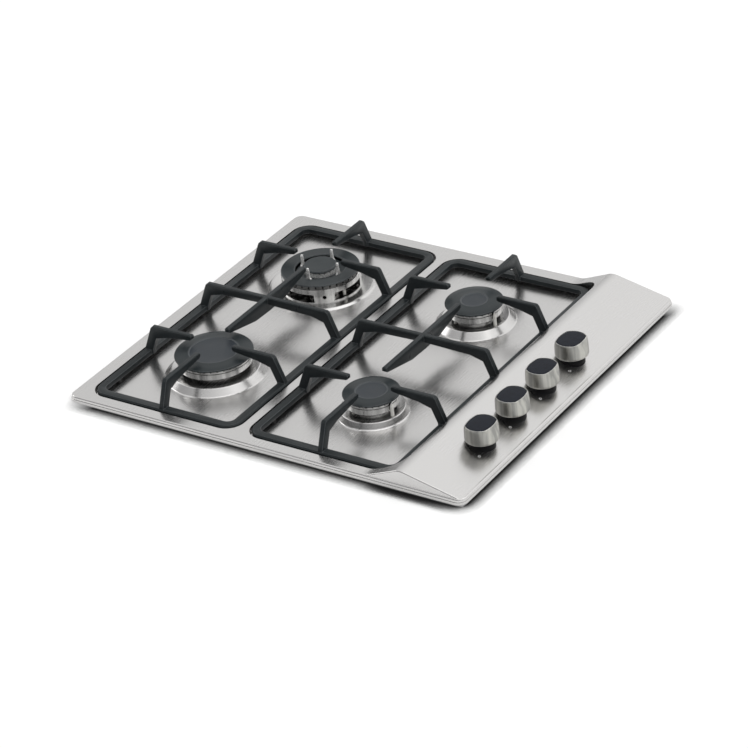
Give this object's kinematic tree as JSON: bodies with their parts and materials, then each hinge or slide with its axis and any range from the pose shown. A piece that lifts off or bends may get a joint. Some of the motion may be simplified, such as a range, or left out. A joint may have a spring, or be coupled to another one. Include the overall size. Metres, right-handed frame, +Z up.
{
  "type": "built-in gas cooktop",
  "caption": "Built-in gas cooktop: pressed steel plate with sunken wells, burners with lift-off caps, iron pan supports and push-and-turn knobs on a sloping side panel.",
  "frame": {"origin": "centre of the plate's outline, at the level of the lowest clamp screw under the burner box", "axes": "+X along the front edge towards the knob panel, +Y towards the back, +Z up; the worktop's surface is at z = 0.055 m"},
  "size_m": [0.582, 0.52, 0.1005],
  "materials": {
    "steel": "fine brushed stainless steel pressing",
    "seal": "soft foam strip",
    "galvanised": "galvanised sheet, dull",
    "support_iron": "matt charcoal enamel",
    "foot_rubber": "matt",
    "burner_alloy": "dull die-cast alloy",
    "cap_enamel": "satin blue-grey enamel",
    "brass": "turned brass",
    "ceramic": "glazed white ceramic",
    "bright_metal": "bright stainless",
    "pipe_alloy": "drawn aluminium tube",
    "zinc_steel": "zinc-plated steel",
    "moulding": "off-white moulded plastic",
    "black_moulding": "black moulded plastic",
    "knob_metal": "satin nickel finish",
    "knob_inlay": "glossy near-black inlay"
  },
  "bodies": {
    "hob": {"hob_plate": "steel", "worktop_seal": "seal", "burner_box": "galvanised", "valve_bracket": "galvanised", "front_left_cup": "burner_alloy", "front_right_cup": "burner_alloy", "rear_right_cup": "burner_alloy", "wok_base": "burner_alloy", "wok_prongs": "bright_metal", "injectors": "brass", "spark_ceramics": "ceramic", "spark_pins": "bright_metal", "gas_rail": "zinc_steel", "gas_inlet": "brass", "feed_tube_1": "pipe_alloy", "feed_tube_2": "pipe_alloy", "feed_tube_3": "pipe_alloy", "feed_tube_4": "pipe_alloy", "ignition_module": "moulding", "terminal_block": "moulding", "cable_gland": "black_moulding", "clamp_screws": "zinc_steel", "burner_screws": "zinc_steel", "valve_bodies": "burner_alloy", "knob_boots": "black_moulding", "valve_springs": "zinc_steel"},
    "pan_support_left": {"pan_support_left": "support_iron", "support_feet_left": "foot_rubber"},
    "pan_support_right": {"pan_support_right": "support_iron", "support_feet_right": "foot_rubber"},
    "front_left_crown": {"front_left_crown": "burner_alloy"},
    "front_left_cap": {"front_left_cap": "cap_enamel"},
    "front_right_crown": {"front_right_crown": "burner_alloy"},
    "front_right_cap": {"front_right_cap": "cap_enamel"},
    "rear_right_crown": {"rear_right_crown": "burner_alloy"},
    "rear_right_cap": {"rear_right_cap": "cap_enamel"},
    "wok_outer_crown": {"wok_outer_crown": "burner_alloy"},
    "wok_ring_cap": {"wok_ring_cap": "cap_enamel"},
    "wok_inner_crown": {"wok_inner_crown": "burner_alloy"},
    "wok_inner_cap": {"wok_inner_cap": "cap_enamel"},
    "plug_1": {"plug_1": "brass"},
    "knob_1": {"knob_1": "knob_metal", "knob_top_1": "knob_inlay", "stem_1": "zinc_steel"},
    "plug_2": {"plug_2": "brass"},
    "knob_2": {"knob_2": "knob_metal", "knob_top_2": "knob_inlay", "stem_2": "zinc_steel"},
    "plug_3": {"plug_3": "brass"},
    "knob_3": {"knob_3": "knob_metal", "knob_top_3": "knob_inlay", "stem_3": "zinc_steel"},
    "plug_4": {"plug_4": "brass"},
    "knob_4": {"knob_4": "knob_metal", "knob_top_4": "knob_inlay", "stem_4": "zinc_steel"},
    "clamp_1": {"clamp_1": "galvanised"},
    "clamp_2": {"clamp_2": "galvanised"},
    "clamp_3": {"clamp_3": "galvanised"},
    "clamp_4": {"clamp_4": "galvanised"}
  },
  "joints": [
    {"name": "pan_support_left_lift", "type": "slide", "parent": "hob", "child": "pan_support_left", "axis": [0, 0, 1], "range_m": [0, 0.06]},
    {"name": "pan_support_right_lift", "type": "slide", "parent": "hob", "child": "pan_support_right", "axis": [0, 0, 1], "range_m": [0, 0.06]},
    {"name": "front_left_crown_lift", "type": "slide", "parent": "hob", "child": "front_left_crown", "axis": [0, 0, 1], "range_m": [0, 0.003]},
    {"name": "front_left_cap_lift", "type": "slide", "parent": "front_left_crown", "child": "front_left_cap", "axis": [0, 0, 1], "range_m": [0, 0.0035]},
    {"name": "front_right_crown_lift", "type": "slide", "parent": "hob", "child": "front_right_crown", "axis": [0, 0, 1], "range_m": [0, 0.003]},
    {"name": "front_right_cap_lift", "type": "slide", "parent": "front_right_crown", "child": "front_right_cap", "axis": [0, 0, 1], "range_m": [0, 0.0035]},
    {"name": "rear_right_crown_lift", "type": "slide", "parent": "hob", "child": "rear_right_crown", "axis": [0, 0, 1], "range_m": [0, 0.003]},
    {"name": "rear_right_cap_lift", "type": "slide", "parent": "rear_right_crown", "child": "rear_right_cap", "axis": [0, 0, 1], "range_m": [0, 0.0035]},
    {"name": "wok_outer_crown_lift", "type": "slide", "parent": "hob", "child": "wok_outer_crown", "axis": [0, 0, 1], "range_m": [0, 0.003]},
    {"name": "wok_ring_cap_lift", "type": "slide", "parent": "wok_outer_crown", "child": "wok_ring_cap", "axis": [0, 0, 1], "range_m": [0, 0.0035]},
    {"name": "wok_inner_crown_lift", "type": "slide", "parent": "hob", "child": "wok_inner_crown", "axis": [0, 0, 1], "range_m": [0, 0.003]},
    {"name": "wok_inner_cap_lift", "type": "slide", "parent": "wok_inner_crown", "child": "wok_inner_cap", "axis": [0, 0, 1], "range_m": [0, 0.0035]},
    {"name": "knob_turn_1", "type": "hinge", "parent": "hob", "child": "plug_1", "pos_m": [0.2533, -0.1507, 0.06], "axis": [0, 0, 1], "range_deg": [0, 210]},
    {"name": "knob_push_1", "type": "slide", "parent": "plug_1", "child": "knob_1", "axis": [0, 0, -1], "range_m": [0, 0.003], "stiffness_N_per_m": 800, "springref_m": -0.006},
    {"name": "knob_turn_2", "type": "hinge", "parent": "hob", "child": "plug_2", "pos_m": [0.2533, -0.0792, 0.06], "axis": [0, 0, 1], "range_deg": [0, 210]},
    {"name": "knob_push_2", "type": "slide", "parent": "plug_2", "child": "knob_2", "axis": [0, 0, -1], "range_m": [0, 0.003], "stiffness_N_per_m": 800, "springref_m": -0.006},
    {"name": "knob_turn_3", "type": "hinge", "parent": "hob", "child": "plug_3", "pos_m": [0.2533, -0.0077, 0.06], "axis": [0, 0, 1], "range_deg": [0, 210]},
    {"name": "knob_push_3", "type": "slide", "parent": "plug_3", "child": "knob_3", "axis": [0, 0, -1], "range_m": [0, 0.003], "stiffness_N_per_m": 800, "springref_m": -0.006},
    {"name": "knob_turn_4", "type": "hinge", "parent": "hob", "child": "plug_4", "pos_m": [0.2533, 0.0638, 0.06], "axis": [0, 0, 1], "range_deg": [0, 210]},
    {"name": "knob_push_4", "type": "slide", "parent": "plug_4", "child": "knob_4", "axis": [0, 0, -1], "range_m": [0, 0.003], "stiffness_N_per_m": 800, "springref_m": -0.006},
    {"name": "clamp_1_swing", "type": "hinge", "parent": "hob", "child": "clamp_1", "pos_m": [-0.25, -0.222, 0.004], "axis": [0, 0, 1], "range_deg": [0, 90]},
    {"name": "clamp_2_swing", "type": "hinge", "parent": "hob", "child": "clamp_2", "pos_m": [0.26, -0.222, 0.004], "axis": [0, 0, -1], "range_deg": [0, 90]},
    {"name": "clamp_3_swing", "type": "hinge", "parent": "hob", "child": "clamp_3", "pos_m": [-0.25, 0.219, 0.004], "axis": [0, 0, -1], "range_deg": [0, 90]},
    {"name": "clamp_4_swing", "type": "hinge", "parent": "hob", "child": "clamp_4", "pos_m": [0.26, 0.219, 0.004], "axis": [0, 0, 1], "range_deg": [0, 90]}
  ]
}
